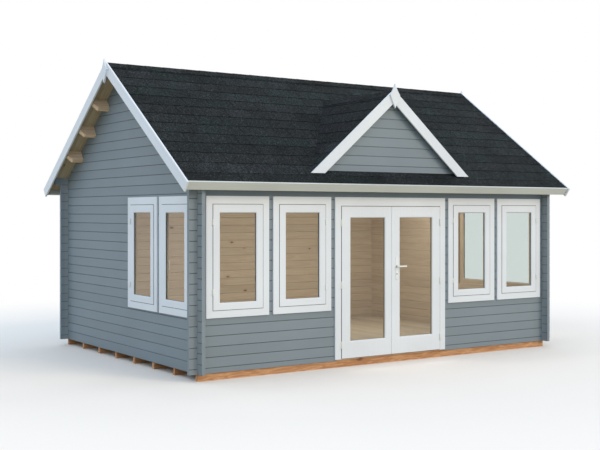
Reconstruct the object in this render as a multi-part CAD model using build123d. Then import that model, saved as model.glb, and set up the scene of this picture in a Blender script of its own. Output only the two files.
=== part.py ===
from build123d import *
import os
from math import cos, pi, radians, sin, tan

# A garden house of interlocking logs: a room with a double door and eight windows,
# a shingled saddle roof and a small decorative gable over the door.
# Millimetres. X runs along the length, the door faces -Y, Z is up, and the origin is
# at the middle of the ground line.

# Walls
wall_length = 5300
wall_width = 3800
wall_height = 2255
wall_thickness = 44
log_course = 114
log_end = 100
groove_depth = 5
groove_height = 13

# Bearers and floor
bearer_count = 8
bearer_width = 45
bearer_height = 80
bearer_setback = 15
bearer_end_setback = 10
floor_thickness = 28
floor_clearance = 6

# Openings: the sill line lies on a course, the head line below the top of the long walls
sill_course_count = 5
lintel_height = 294

# Main roof
roof_pitch = 35.2
eave_overhang = 222
gable_overhang = 224
shingle_thickness = 10
roof_board_thickness = 19
ridge_cap_width = 125
ridge_cap_thickness = 4
edge_board_thickness = 20
edge_board_width = 122
edge_board_rise = 7
edge_board_overrun = 15
fascia_width = 100

# Purlins, and the top logs of the long walls, which reach out under the gable overhang
purlin_count = 3
purlin_spacing = 530
purlin_width = 58
purlin_depth = 140
purlin_end_setback = 19
purlin_bevel_length = 60
purlin_bevel_depth = 70
plate_reach = 80

# Finials
finial_height = 297
finial_width = 148
finial_thickness = 20
finial_rise = 42
dormer_finial_rise = 76
shoulder_share = 0.54
flank_hollow_share = 0.10
flank_middle_share = 0.55

# Decorative gable over the door
dormer_pitch = 40.5
dormer_height = 1035
dormer_setback = 18
dormer_overhang = 38
dormer_line_rise = 117
dormer_foot_clearance = 2

# Window frames and sashes
window_gap = 55
window_corner_gap = 98.5
window_door_gap = 57.5
frame_lap = 35
frame_head_lap = 32
frame_sill_lap = 34
frame_proud = 18
window_side_face = 79
window_head_face = 88
window_sill_face = 79
stop_width = 15
sash_clearance = 4
sash_thickness = 44
sash_proud = 22
stile_width = 86
top_rail_width = 92
bottom_rail_width = 79
bead_width = 9
bead_depth = 9
pane_thickness = 6
pane_seat = 10

# Window fittings
window_hinge_radius = 7
window_hinge_height = 70
window_hinge_shares = (0.17, 0.83)
window_hinge_plate = 16
window_handle_width = 16
window_handle_height = 120
window_handle_thickness = 12
window_handle_base = 26
window_handle_base_height = 60
window_handle_stand = 34
window_handle_share = 0.45
rod_side_count = 10
hinge_clearance = 0.3

# Door
door_width = 1698
door_foot = 15
door_side_face = 87
door_head_face = 104
door_clearance = 5
door_foot_clearance = 8
door_leaf_thickness = 44
door_leaf_proud = 24
door_meeting_gap = 8
door_meeting_offset = 18
door_stile_width = 128
door_middle_width = 234
door_top_rail_width = 134
door_bottom_rail_width = 200
door_pane_thickness = 8
door_hinge_radius = 8
door_hinge_height = 92
door_hinge_plate = 18
door_hinge_shares = (0.089, 0.483, 0.891)

# Door furniture
lock_plate_width = 38
lock_plate_height = 283
lock_plate_thickness = 8
lock_plate_drop = 23
lever_rise = 1057
lever_inset = 75
lever_length = 130
lever_height = 20
lever_thickness = 14
lever_bevel = 6
lever_stand = 40
spindle_radius = 8
spindle_clearance = 0.3
spindle_leaf_clearance = 3

# How far cutting shapes run past what they cut, and the shortest step of an outline
overrun = 50
least_step = 0.01

# Worked out from the sizes above
half_length = wall_length / 2
half_width = wall_width / 2
half_course = log_course / 2
quarter_course = log_course / 4
wall_foot = bearer_height
long_wall_line = wall_foot + half_course
side_wall_line = wall_foot + log_course
opening_foot = long_wall_line + sill_course_count * log_course
opening_head = wall_height - lintel_height
roof_cos = cos(radians(roof_pitch))
roof_sin = sin(radians(roof_pitch))
roof_tan = tan(radians(roof_pitch))
dormer_cos = cos(radians(dormer_pitch))
dormer_sin = sin(radians(dormer_pitch))
roof_thickness = shingle_thickness + roof_board_thickness
ridge_height = wall_height + half_width * roof_tan + roof_thickness / roof_cos
dormer_ridge_height = wall_height + dormer_height
eave_run = (half_width + eave_overhang) / roof_cos
board_run = eave_run - edge_board_thickness
roof_half_length = half_length + gable_overhang
edge_half_length = roof_half_length + edge_board_thickness
front_face = -half_width
dormer_face = front_face + dormer_setback
dormer_front = front_face - dormer_overhang
dormer_edge = dormer_front - edge_board_thickness
door_half = door_width / 2
window_width = (half_length - window_corner_gap - window_gap - window_door_gap - door_half) / 2


def block(x_low, x_high, y_low, y_high, z_low, z_high):
    """A solid box between two corners."""
    size = (x_high - x_low, y_high - y_low, z_high - z_low)
    middle = ((x_low + x_high) / 2, (y_low + y_high) / 2, (z_low + z_high) / 2)
    return Pos(*middle) * Box(*size)


def prism_x(outline, x_low, x_high):
    """An outline of (y, z) points run along X."""
    face = Pos(x_low, 0, 0) * (Plane.YZ * Polygon(*outline, align=None))
    return extrude(face, amount=x_high - x_low, dir=(1, 0, 0))


def prism_y(outline, y_low, y_high):
    """An outline of (x, z) points run along Y."""
    face = Pos(0, y_low, 0) * (Plane.XZ * Polygon(*outline, align=None))
    return extrude(face, amount=y_high - y_low, dir=(0, 1, 0))


def prism_z(outline, z_low, z_high):
    """An outline of (x, y) points run along Z."""
    face = Pos(0, 0, z_low) * Polygon(*outline, align=None)
    return extrude(face, amount=z_high - z_low, dir=(0, 0, 1))


def other_side(piece):
    """The same piece at the other end of the house."""
    return mirror(piece, about=Plane.YZ)


def behind(piece):
    """The same piece on the rear half of the house."""
    return mirror(piece, about=Plane.XZ)


# Logs

def course_lines(z_low, z_high, first_line):
    """The heights of the course lines whose grooves reach a wall between two levels."""
    lines = []
    line = first_line
    while line < z_high + groove_height / 2:
        if line > z_low - groove_height / 2:
            lines.append(line)
        line += log_course
    return lines


def groove_inset(level, first_line):
    """How deep the grooved outer face lies at a level."""
    offset = (level - first_line + half_course) % log_course - half_course
    return max(groove_depth * (1 - 2 * abs(offset) / groove_height), 0)


def grooved_face(z_low, z_high, first_line):
    """(y, z) points up the outer face of a log wall, with a V groove at each course line."""
    levels = [z_low]
    for line in course_lines(z_low, z_high, first_line):
        for level in (line - groove_height / 2, line, line + groove_height / 2):
            if z_low + least_step < level < z_high - least_step:
                levels.append(level)
    levels.append(z_high)
    return [(groove_inset(level, first_line), level) for level in levels]


def log_panel(u_low, u_high, z_low, z_high, first_line):
    """A stretch of log wall along X, its grooved outer face on y = 0 and a plain face behind it."""
    outline = grooved_face(z_low, z_high, first_line)
    return prism_x(outline + [(wall_thickness, z_high), (wall_thickness, z_low)], u_low, u_high)


def inner_grooves(u_low, u_high, z_low, z_high, first_line):
    """V grooves for the face of a wall that looks into the room."""
    cuts = []
    for line in course_lines(z_low, z_high, first_line):
        outline = [(wall_thickness, line - groove_height / 2), (wall_thickness, line + groove_height / 2),
                   (wall_thickness - groove_depth, line)]
        cuts.append(prism_x(outline, u_low, u_high))
    return cuts


def notches(corner, first_level):
    """The notches, half a course high, in which the logs of a crossing wall lie."""
    cuts = []
    level = first_level
    while level < ridge_height:
        cuts.append(block(corner - wall_thickness, corner, 0, wall_thickness, level, level + half_course))
        level += log_course
    return cuts


def long_wall_notches():
    """Both corners of a long wall, cut for the logs of the side walls."""
    cuts = notches(half_length, wall_foot + quarter_course)
    return cuts + [other_side(cut) for cut in cuts]


def side_wall_notches():
    """Both corners of a side wall, cut for the logs of the long walls."""
    cuts = notches(half_width, wall_foot - quarter_course)
    return cuts + [other_side(cut) for cut in cuts]


# Where each wall stands: local X runs to the right seen from outside, local Y inward
front_place = Pos(0, -half_width, 0)
rear_place = Pos(0, half_width, 0) * Rot(0, 0, 180)
left_place = Pos(-half_length, 0, 0) * Rot(0, 0, -90)
right_place = Pos(half_length, 0, 0) * Rot(0, 0, 90)

# Places of the openings, measured along a wall from its corner
window_low = window_corner_gap + frame_lap
window_high = window_corner_gap + window_width - frame_lap
next_window_low = window_low + window_width + window_gap
next_window_high = window_high + window_width + window_gap
door_opening_half = door_width / 2 - frame_lap


# Main roof

def roof_point(run, depth):
    """A (y, z) point of the front slope, by its run from the ridge and its depth below the shingles."""
    return (depth * roof_sin - run * roof_cos, ridge_height - run * roof_sin - depth * roof_cos)


def ridge_point(depth):
    """The (y, z) point under the ridge where the two slopes meet at a depth."""
    return (0, ridge_height - depth / roof_cos)


def slope_layer(depth_top, depth_foot, run, x_low, x_high):
    """A layer of the front slope, cut plumb at the ridge and square at the eave."""
    outline = [ridge_point(depth_top), roof_point(run, depth_top), roof_point(run, depth_foot),
               ridge_point(depth_foot)]
    return prism_x(outline, x_low, x_high)


def under_roof():
    """The space below the roof boards."""
    apex = ridge_point(roof_thickness)
    foot = roof_point(eave_run, roof_thickness)
    outline = [apex, foot, (foot[0], 0), (-foot[0], 0), (-foot[0], foot[1])]
    return prism_x(outline, -edge_half_length, edge_half_length)


def above_boards(depth):
    """The space above the front slope at a depth below its shingles."""
    apex = ridge_point(depth)
    foot = roof_point(eave_run, depth)
    return prism_x([apex, foot, (foot[0], apex[1])], -roof_half_length, roof_half_length)


def purlin_side(head, foot):
    """The long side of a purlin in local XY between two levels, bevelled below at both ends."""
    reach = roof_half_length - purlin_end_setback
    bevel_end = reach - purlin_bevel_length
    bevel_head = foot + purlin_bevel_depth
    return Polygon((-reach, head), (reach, head), (reach, bevel_head), (bevel_end, foot),
                   (-bevel_end, foot), (-reach, bevel_head), align=None)


def make_purlins():
    """The ridge purlin and three purlins square to each slope, reaching out past the gables."""
    pieces = []
    slope = Plane(origin=(0, 0, ridge_height), x_dir=(1, 0, 0), z_dir=(0, -roof_cos, -roof_sin))
    side = purlin_side(-roof_thickness, -roof_thickness - purlin_depth)
    for count in range(1, purlin_count + 1):
        middle = half_width / roof_cos - count * purlin_spacing
        purlin = extrude(slope.offset(middle - purlin_width / 2) * side, amount=purlin_width)
        pieces += [purlin, behind(purlin)]
    apex = ridge_point(roof_thickness)
    half = purlin_width / 2
    face = Pos(0, half, 0) * (Plane.XZ * purlin_side(apex[1], apex[1] - purlin_depth / roof_cos))
    pieces.append(extrude(face, amount=purlin_width, dir=(0, -1, 0)) & under_roof())
    return pieces


def make_ridge_cap():
    """The folded shingle strip over the ridge."""
    under = roof_point(ridge_cap_width, 0)
    over = roof_point(ridge_cap_width, -ridge_cap_thickness)
    outline = [ridge_point(-ridge_cap_thickness), over, under, ridge_point(0),
               (-under[0], under[1]), (-over[0], over[1])]
    return prism_x(outline, -roof_half_length, roof_half_length)


def make_fascia():
    """The eave board of the front slope, square to it."""
    outline = [roof_point(board_run, 0), roof_point(eave_run, 0), roof_point(eave_run, fascia_width),
               roof_point(board_run, fascia_width)]
    return prism_x(outline, -roof_half_length, roof_half_length)


def make_bargeboard():
    """The bargeboard at the left end of the front slope."""
    run = eave_run + edge_board_overrun
    depth = edge_board_width - edge_board_rise
    return slope_layer(-edge_board_rise, depth, run, -edge_half_length, -roof_half_length)


def finial_outline(tip_height):
    """A spear-shaped face in local XY with hollow upper flanks, point up at a height."""
    tip = (0, tip_height)
    foot = (0, tip_height - finial_height)
    shoulder_height = foot[1] + finial_height * shoulder_share
    side = finial_width / 2
    flank_height = shoulder_height + (tip_height - shoulder_height) * flank_middle_share
    flank_side = side * (1 - flank_middle_share - flank_hollow_share)
    right = (side, shoulder_height)
    left = (-side, shoulder_height)
    lines = [ThreePointArc(right, (flank_side, flank_height), tip),
             ThreePointArc(tip, (-flank_side, flank_height), left),
             Line(left, foot), Line(foot, right)]
    return make_face(lines)


def make_gable_finial():
    """The finial on the bargeboards of the left gable."""
    face = Pos(-edge_half_length, 0, 0) * (Plane.YZ * finial_outline(ridge_height + finial_rise))
    return extrude(face, amount=finial_thickness, dir=(-1, 0, 0))


# Decorative gable over the door

def dormer_point(run, depth):
    """An (x, z) point of the left dormer slope, by run from its ridge and depth below its shingles."""
    x = depth * dormer_sin - run * dormer_cos
    return (x, dormer_ridge_height - run * dormer_sin - depth * dormer_cos)


def dormer_ridge_point(depth):
    """The (x, z) point where the two dormer slopes meet at a depth."""
    return (0, dormer_ridge_height - depth / dormer_cos)


# The dormer slopes run down to the level of the main eave, where the main roof has ended them
dormer_run = (dormer_ridge_height - roof_point(eave_run, 0)[1]) / dormer_sin


def dormer_layer(depth_top, depth_foot, y_low, y_high):
    """A layer of the left dormer slope."""
    outline = [dormer_ridge_point(depth_top), dormer_point(dormer_run, depth_top),
               dormer_point(dormer_run, depth_foot), dormer_ridge_point(depth_foot)]
    return prism_y(outline, y_low, y_high)


def under_dormer(depth, y_low, y_high):
    """The space below both dormer slopes at a depth."""
    foot = dormer_point(dormer_run, depth)
    return prism_y([dormer_ridge_point(depth), foot, (-foot[0], foot[1])], y_low, y_high)


def make_dormer_gable():
    """The log face of the dormer, standing on the roof boards."""
    reach = -dormer_point(dormer_run, 0)[0]
    foot = roof_point(eave_run, 0)[1]
    first_line = wall_height + dormer_line_rise
    panel = Pos(0, dormer_face, 0) * log_panel(-reach, reach, foot, dormer_ridge_height, first_line)
    return panel & above_boards(shingle_thickness) & under_dormer(roof_thickness, front_face, 0)


def make_dormer_bargeboard():
    """The left bargeboard of the dormer, cut level just above the shingles."""
    depth = edge_board_width - edge_board_rise
    board = dormer_layer(-edge_board_rise, depth, dormer_edge, dormer_front)
    foot = ridge_height + dormer_front * roof_tan + dormer_foot_clearance
    peak = dormer_ridge_point(-edge_board_rise)[1]
    return board & block(-half_length, half_length, dormer_edge, dormer_front, foot, peak)


def make_dormer_ridge_cap():
    """The folded shingle strip over the dormer ridge."""
    under = dormer_point(ridge_cap_width, 0)
    over = dormer_point(ridge_cap_width, -ridge_cap_thickness)
    outline = [dormer_ridge_point(-ridge_cap_thickness), over, under, dormer_ridge_point(0),
               (-under[0], under[1]), (-over[0], over[1])]
    return prism_y(outline, dormer_front, 0) & above_boards(0)


def make_dormer_finial():
    """The finial on the dormer's bargeboards."""
    face = Pos(0, dormer_edge, 0) * (Plane.XZ * finial_outline(dormer_ridge_height + dormer_finial_rise))
    return extrude(face, amount=finial_thickness, dir=(0, -1, 0))


def make_front_shingles():
    """The front shingles, cut out where the dormer stands."""
    shingles = slope_layer(0, shingle_thickness, board_run, -roof_half_length, roof_half_length)
    left_edge = dormer_layer(0, roof_thickness, dormer_front, dormer_face)
    return shingles - [under_dormer(0, dormer_face, 0), left_edge, other_side(left_edge)]


# Windows, made around x = 0 with the wall's outer face on y = 0

window_foot = opening_foot - frame_sill_lap
window_top = opening_head + frame_head_lap
window_half = window_width / 2
inner_face = wall_thickness + frame_proud
sash_back = sash_thickness - sash_proud
sash_half = window_half - window_side_face - sash_clearance
sash_foot = window_foot + window_sill_face + sash_clearance
sash_top = window_top - window_head_face - sash_clearance
glass_half = sash_half - stile_width
glass_foot = sash_foot + bottom_rail_width
glass_top = sash_top - top_rail_width
pane_middle = (sash_back - sash_proud) / 2


def frame_ring(half, foot, top, faces, laps, stop_start):
    """A frame lining an opening, with trim lapping the wall on both faces and a stop behind the leaf."""
    side_face, head_face, sill_face = faces
    side_lap, head_lap, sill_lap = laps
    ring = block(-half, half, -frame_proud, 0, foot, top)
    ring += block(-half, half, wall_thickness, inner_face, foot, top)
    ring += block(side_lap - half, half - side_lap, 0, wall_thickness, foot + sill_lap, top - head_lap)
    clear = half - side_face
    ring -= block(-clear, clear, -frame_proud, stop_start, foot + sill_face, top - head_face)
    clear -= stop_width
    ring -= block(-clear, clear, stop_start, inner_face, foot + sill_face + stop_width,
                  top - head_face - stop_width)
    return ring


def frame_jambs(ring, half, z_low, z_high):
    """The two upright members of a frame between two levels."""
    jamb = ring & block(-half, 0, -frame_proud, inner_face, z_low, z_high)
    return [jamb, other_side(jamb)]


# The frame's head and sill take in the stop, and the jambs stand between them
window_faces = (window_side_face, window_head_face, window_sill_face)
window_laps = (frame_lap, frame_head_lap, frame_sill_lap)
jamb_foot = window_foot + window_sill_face + stop_width
jamb_top = window_top - window_head_face - stop_width


def glazed_ring(x_low, x_high, z_low, z_high, glass, y_front, thickness, pane_y, pane_depth):
    """A frame of stiles and rails round a glass opening, bevelled towards the glass and grooved for it."""
    glass_low, glass_high, glass_bottom, glass_head = glass
    ring = block(x_low, x_high, y_front, y_front + thickness, z_low, z_high)
    ring -= block(glass_low, glass_high, y_front, y_front + thickness, glass_bottom, glass_head)
    middle = ((glass_low + glass_high) / 2, (glass_bottom + glass_head) / 2)
    width = glass_high - glass_low
    height = glass_head - glass_bottom
    for y_face, y_inside in ((y_front, y_front + bead_depth),
                             (y_front + thickness, y_front + thickness - bead_depth)):
        wide = Rectangle(width + 2 * bead_width, height + 2 * bead_width)
        narrow = Rectangle(width, height)
        wide_face = Pos(middle[0], y_face, middle[1]) * (Plane.XZ * wide)
        narrow_face = Pos(middle[0], y_inside, middle[1]) * (Plane.XZ * narrow)
        ring -= loft([wide_face, narrow_face])
    return ring - glazing(glass, pane_y, pane_depth)


def glazing(glass, pane_y, pane_depth):
    """The pane of a glass opening, seated in the groove round it."""
    glass_low, glass_high, glass_bottom, glass_head = glass
    return block(glass_low - pane_seat, glass_high + pane_seat, pane_y - pane_depth / 2,
                 pane_y + pane_depth / 2, glass_bottom - pane_seat, glass_head + pane_seat)


window_glass = (-glass_half, glass_half, glass_foot, glass_top)


def make_sash_ring():
    """The whole sash frame, before it is parted into stiles and rails."""
    return glazed_ring(-sash_half, sash_half, sash_foot, sash_top, window_glass,
                       -sash_proud, sash_thickness, pane_middle, pane_thickness)


def make_stiles(ring):
    """The two stiles of a sash, over its full height."""
    stile = ring & block(-sash_half, -glass_half, -sash_proud, sash_back, sash_foot, sash_top)
    return [stile, other_side(stile)]


def make_rails(ring):
    """The two rails of a sash, between its stiles."""
    top = ring & block(-glass_half, glass_half, -sash_proud, sash_back, glass_top, sash_top)
    bottom = ring & block(-glass_half, glass_half, -sash_proud, sash_back, sash_foot, glass_foot)
    return [top, bottom]


def make_window_hinges(side):
    """The two hinges of a sash, on its left (-1) or right (1) edge, screwed to the jamb."""
    pieces = []
    axis = side * (sash_half + sash_clearance / 2)
    y_axis = -sash_proud - window_hinge_radius - hinge_clearance
    for share in window_hinge_shares:
        middle = sash_foot + (sash_top - sash_foot) * share
        base = middle - window_hinge_height / 2
        section = Pos(axis, y_axis, base) * RegularPolygon(window_hinge_radius, rod_side_count)
        barrel = extrude(section, amount=window_hinge_height, dir=(0, 0, 1))
        ends = sorted((axis, axis + side * window_hinge_plate))
        plate = block(*ends, y_axis, -frame_proud, base, base + window_hinge_height)
        plate -= block(-sash_half, sash_half, -sash_proud - hinge_clearance, 0, sash_foot, sash_top)
        pieces.append(barrel + plate)
    return pieces


def make_window_handle(side):
    """The inside handle on the closing stile: a rose with an upright grip."""
    middle_x = side * (glass_half + stile_width / 2)
    middle_z = sash_foot + (sash_top - sash_foot) * window_handle_share
    base_half = window_handle_base / 2
    grip_half = window_handle_width / 2
    base = block(middle_x - base_half, middle_x + base_half, sash_back,
                 sash_back + window_handle_thickness, middle_z - window_handle_base_height / 2,
                 middle_z + window_handle_base_height / 2)
    neck = block(middle_x - grip_half, middle_x + grip_half, sash_back, sash_back + window_handle_stand,
                 middle_z - grip_half, middle_z + grip_half)
    grip = block(middle_x - grip_half, middle_x + grip_half,
                 sash_back + window_handle_stand - window_handle_thickness,
                 sash_back + window_handle_stand, middle_z + grip_half - window_handle_height,
                 middle_z + grip_half)
    return base + neck + grip


def window_places():
    """Where the eight windows stand, with the side on which each sash is hung."""
    first = window_corner_gap + window_half
    second = first + window_width + window_gap
    places = []
    for wall_place, corner in ((front_place, half_length), (left_place, half_width),
                               (right_place, half_width)):
        for distance, end in ((first, -1), (second, 1)):
            if wall_place is not left_place:
                places.append((wall_place * Pos(distance - corner, 0, 0), end))
            if wall_place is not right_place:
                places.append((wall_place * Pos(corner - distance, 0, 0), -end))
    return places


# Double door

frame_foot = wall_foot + door_foot
door_top = opening_head + frame_head_lap
leaf_half = door_half - door_side_face - door_clearance
leaf_foot = frame_foot + door_foot_clearance
leaf_top = door_top - door_head_face - door_clearance
leaf_front = front_face - door_leaf_proud
leaf_back = leaf_front + door_leaf_thickness
leaf_middle = (leaf_front + leaf_back) / 2
meeting = -door_meeting_offset
hinge_axis_x = leaf_half + door_clearance / 2
hinge_axis_y = leaf_front - door_hinge_radius - hinge_clearance
stop_face = door_leaf_thickness - door_leaf_proud + door_clearance
left_glass = (door_stile_width - leaf_half, -door_middle_width / 2,
              leaf_foot + door_bottom_rail_width, leaf_top - door_top_rail_width)
right_glass = (-left_glass[1], -left_glass[0], *left_glass[2:])
lever_x = meeting + door_meeting_gap / 2 + lever_inset
lever_level = leaf_foot + lever_rise
door_jamb_top = door_top - door_head_face - stop_width


def make_door_frame():
    """The door frame before it is parted, running on below the threshold."""
    faces = (door_side_face, door_head_face, overrun)
    laps = (frame_lap, frame_head_lap, overrun)
    return frame_ring(door_half, wall_foot - 2 * overrun, door_top, faces, laps, stop_face)


def make_door_head(ring):
    """The head of the door frame, across its whole width."""
    return front_place * (ring & block(-door_half, door_half, -frame_proud, inner_face,
                                       door_jamb_top, door_top))


def make_door_jambs(ring):
    """Both jambs of the door frame, from the threshold to the head."""
    floor = make_floor()
    return [front_place * jamb - floor for jamb in frame_jambs(ring, door_half, frame_foot, door_jamb_top)]


def make_threshold():
    """The sill board of the doorway, on the front bearer."""
    return front_place * block(-door_opening_half, door_opening_half, 0, wall_thickness,
                               wall_foot, frame_foot)


def make_leaf(x_low, x_high, glass):
    """A door leaf with one tall pane."""
    return glazed_ring(x_low, x_high, leaf_foot, leaf_top, glass, leaf_front, door_leaf_thickness,
                       leaf_middle, door_pane_thickness)


def make_rod(radius, reach):
    """A rod of few sides on the lever's axis, reaching out as far to both faces of the leaf."""
    section = Pos(lever_x, leaf_middle, lever_level) * (Plane.XZ * RegularPolygon(radius, rod_side_count))
    return extrude(section, amount=reach, both=True)


def make_spindle_hole(radius):
    """The way of the lever's spindle through the right leaf and its lock plates."""
    return make_rod(radius / cos(pi / rod_side_count), door_leaf_thickness + overrun)


def make_lock_plates():
    """The long plates on both faces of the right leaf."""
    hole = make_spindle_hole(spindle_radius + spindle_clearance)
    half = lock_plate_width / 2
    middle = lever_level - lock_plate_drop
    foot = middle - lock_plate_height / 2
    head = middle + lock_plate_height / 2
    plates = []
    for y_low in (leaf_front - lock_plate_thickness, leaf_back):
        plate = block(lever_x - half, lever_x + half, y_low, y_low + lock_plate_thickness, foot, head)
        plates.append(plate - hole)
    return plates


def make_lever():
    """The lever pair on one spindle, pointing away from the meeting edge."""
    reach = door_leaf_thickness / 2 + lock_plate_thickness + lever_stand + lever_thickness
    lever = make_rod(spindle_radius, reach)
    bar_middle = lever_x + (lever_length - lever_height) / 2
    bar = Plane.XZ * chamfer(Rectangle(lever_length, lever_height).vertices(), lever_bevel)
    for y_low in (leaf_middle - reach, leaf_middle + reach - lever_thickness):
        face = Pos(bar_middle, y_low, lever_level) * bar
        lever += extrude(face, amount=lever_thickness, dir=(0, 1, 0))
    return lever


def make_door_hinges():
    """Three hinges for each leaf, screwed to the jambs, with their axes in front of the leaves."""
    pieces = []
    edge = -leaf_half - door_clearance
    for share in door_hinge_shares:
        low = leaf_foot + (leaf_top - leaf_foot) * share - door_hinge_height / 2
        high = low + door_hinge_height
        section = Pos(-hinge_axis_x, hinge_axis_y, low) * RegularPolygon(door_hinge_radius, rod_side_count)
        barrel = extrude(section, amount=door_hinge_height, dir=(0, 0, 1))
        plate = block(edge - door_hinge_plate, edge, hinge_axis_y, front_face - frame_proud, low, high)
        hinge = barrel + plate
        pieces += [hinge, other_side(hinge)]
    return pieces


# The nodes

def make_floor():
    """The floor, a little clear of the walls."""
    x_half = half_length - wall_thickness - floor_clearance
    y_half = half_width - wall_thickness - floor_clearance
    return block(-x_half, x_half, -y_half, y_half, wall_foot, wall_foot + floor_thickness)


def wall_nodes():
    """The log walls, parted beside, below and above their openings."""
    long_cuts = long_wall_notches()
    side_cuts = side_wall_notches()
    roof_space = under_roof()
    purlins = make_purlins()
    long_end = half_length + log_end
    side_end = half_width + log_end

    def pier(u_low, u_high, z_low, z_high, first_line, corner, cuts):
        inside = corner - wall_thickness
        logs = log_panel(u_low, u_high, z_low, z_high, first_line)
        if u_low < -corner:
            logs += block(-corner, -inside, 0, wall_thickness, z_low, z_high)
        if u_high > corner:
            logs += block(inside, corner, 0, wall_thickness, z_low, z_high)
        return logs - cuts

    def panel(u_low, u_high, z_low, z_high, first_line, corner, cuts):
        inside = corner - wall_thickness
        grooves = inner_grooves(max(u_low, -inside), min(u_high, inside), z_low, z_high, first_line)
        return pier(u_low, u_high, z_low, z_high, first_line, corner, cuts) - grooves

    long_wall = (long_wall_line, half_length, long_cuts)
    side_wall = (side_wall_line, half_width, side_cuts)

    front_left = front_place * panel(-long_end, -door_opening_half, wall_foot, opening_foot, *long_wall)
    front_piers = []
    for u_low, u_high in ((-long_end, window_low - half_length),
                          (window_high - half_length, next_window_low - half_length),
                          (next_window_high - half_length, -door_opening_half)):
        front_pier = front_place * pier(u_low, u_high, opening_foot, opening_head, *long_wall)
        front_piers += [front_pier, other_side(front_pier)]
    plate_foot = course_lines(wall_foot, wall_height, long_wall_line)[-1]
    plate_end = long_end + plate_reach
    plate = block(-plate_end, plate_end, 0, wall_thickness, plate_foot, ridge_height)
    plate -= block(-long_end, long_end, 0, wall_thickness, plate_foot, ridge_height)
    front_top = front_place * (panel(-long_end, long_end, opening_head, ridge_height, *long_wall) + plate)
    rear = rear_place * (panel(-long_end, long_end, wall_foot, ridge_height, *long_wall) + plate)

    left_lower = left_place * panel(-side_end, side_end, wall_foot, opening_foot, *side_wall)
    left_piers = []
    for u_low, u_high in ((half_width - window_low, side_end),
                          (half_width - next_window_low, half_width - window_high),
                          (-side_end, half_width - next_window_high)):
        left_piers.append(left_place * pier(u_low, u_high, opening_foot, opening_head, *side_wall))
    gable = left_place * panel(-side_end, side_end, opening_head, ridge_height, *side_wall)
    left_gable = (gable & roof_space) - purlins
    return {
        "front_wall_left": [front_left],
        "front_wall_right": [other_side(front_left)],
        "front_wall_piers": front_piers,
        "front_wall_top": [front_top & roof_space],
        "rear_wall": [rear & roof_space],
        "left_wall_lower": [left_lower],
        "left_wall_piers": left_piers,
        "left_gable": [left_gable],
        "right_wall_lower": [other_side(left_lower)],
        "right_wall_piers": [other_side(left_pier) for left_pier in left_piers],
        "right_gable": [other_side(left_gable)],
        "purlins": purlins,
    }


def floor_nodes():
    """The bearers under the house and the floor between its walls."""
    bearers = []
    pitch = (wall_width - 2 * bearer_setback - bearer_width) / (bearer_count - 1)
    bearer_half = half_length - bearer_end_setback
    for count in range(bearer_count):
        y_low = front_face + bearer_setback + count * pitch
        bearers.append(block(-bearer_half, bearer_half, y_low, y_low + bearer_width, 0, bearer_height))
    return {"floor_bearers": bearers, "floor": [make_floor()]}


def roof_nodes():
    """The boards, shingles and edge boards of the main roof."""
    boards = slope_layer(shingle_thickness, roof_thickness, board_run, -roof_half_length, roof_half_length)
    shingles = slope_layer(0, shingle_thickness, board_run, -roof_half_length, roof_half_length)
    bargeboard = make_bargeboard()
    fascia = make_fascia()
    finial = make_gable_finial()
    return {
        "roof_boards_front": [boards],
        "roof_boards_rear": [behind(boards)],
        "roof_shingles_front": [make_front_shingles()],
        "roof_shingles_rear": [behind(shingles)],
        "ridge_caps": [make_ridge_cap(), make_dormer_ridge_cap()],
        "front_bargeboards": [bargeboard, other_side(bargeboard)],
        "rear_bargeboards": [behind(bargeboard), behind(other_side(bargeboard))],
        "fascias": [fascia, behind(fascia)],
        "finials": [finial, other_side(finial), make_dormer_finial()],
    }


def dormer_nodes():
    """The decorative gable: its face, boards, shingles and bargeboards."""
    on_boards = above_boards(shingle_thickness)
    boards = dormer_layer(shingle_thickness, roof_thickness, dormer_front, 0) & on_boards
    shingles = dormer_layer(0, shingle_thickness, dormer_front, 0) & on_boards
    bargeboard = make_dormer_bargeboard()
    return {
        "dormer_gable": [make_dormer_gable()],
        "dormer_boards_left": [boards],
        "dormer_boards_right": [other_side(boards)],
        "dormer_shingles_left": [shingles],
        "dormer_shingles_right": [other_side(shingles)],
        "dormer_bargeboard_left": [bargeboard],
        "dormer_bargeboard_right": [other_side(bargeboard)],
    }


def door_nodes():
    """The door frame, its two leaves, their hinges and the lever."""
    left_leaf = make_leaf(-leaf_half, meeting - door_meeting_gap / 2, left_glass)
    right_leaf = make_leaf(meeting + door_meeting_gap / 2, leaf_half, right_glass)
    right_leaf -= make_spindle_hole(spindle_radius + spindle_leaf_clearance)
    frame = make_door_frame()
    return {
        "door_head": [make_door_head(frame)],
        "door_jambs": make_door_jambs(frame),
        "door_threshold": [make_threshold()],
        "door_hinges": make_door_hinges(),
        "left_door_leaf": [left_leaf],
        "left_door_pane": [glazing(left_glass, leaf_middle, door_pane_thickness)],
        "right_door_leaf": [right_leaf],
        "right_door_pane": [glazing(right_glass, leaf_middle, door_pane_thickness)],
        "lock_plates": make_lock_plates(),
        "door_lever": [make_lever()],
    }


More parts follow.
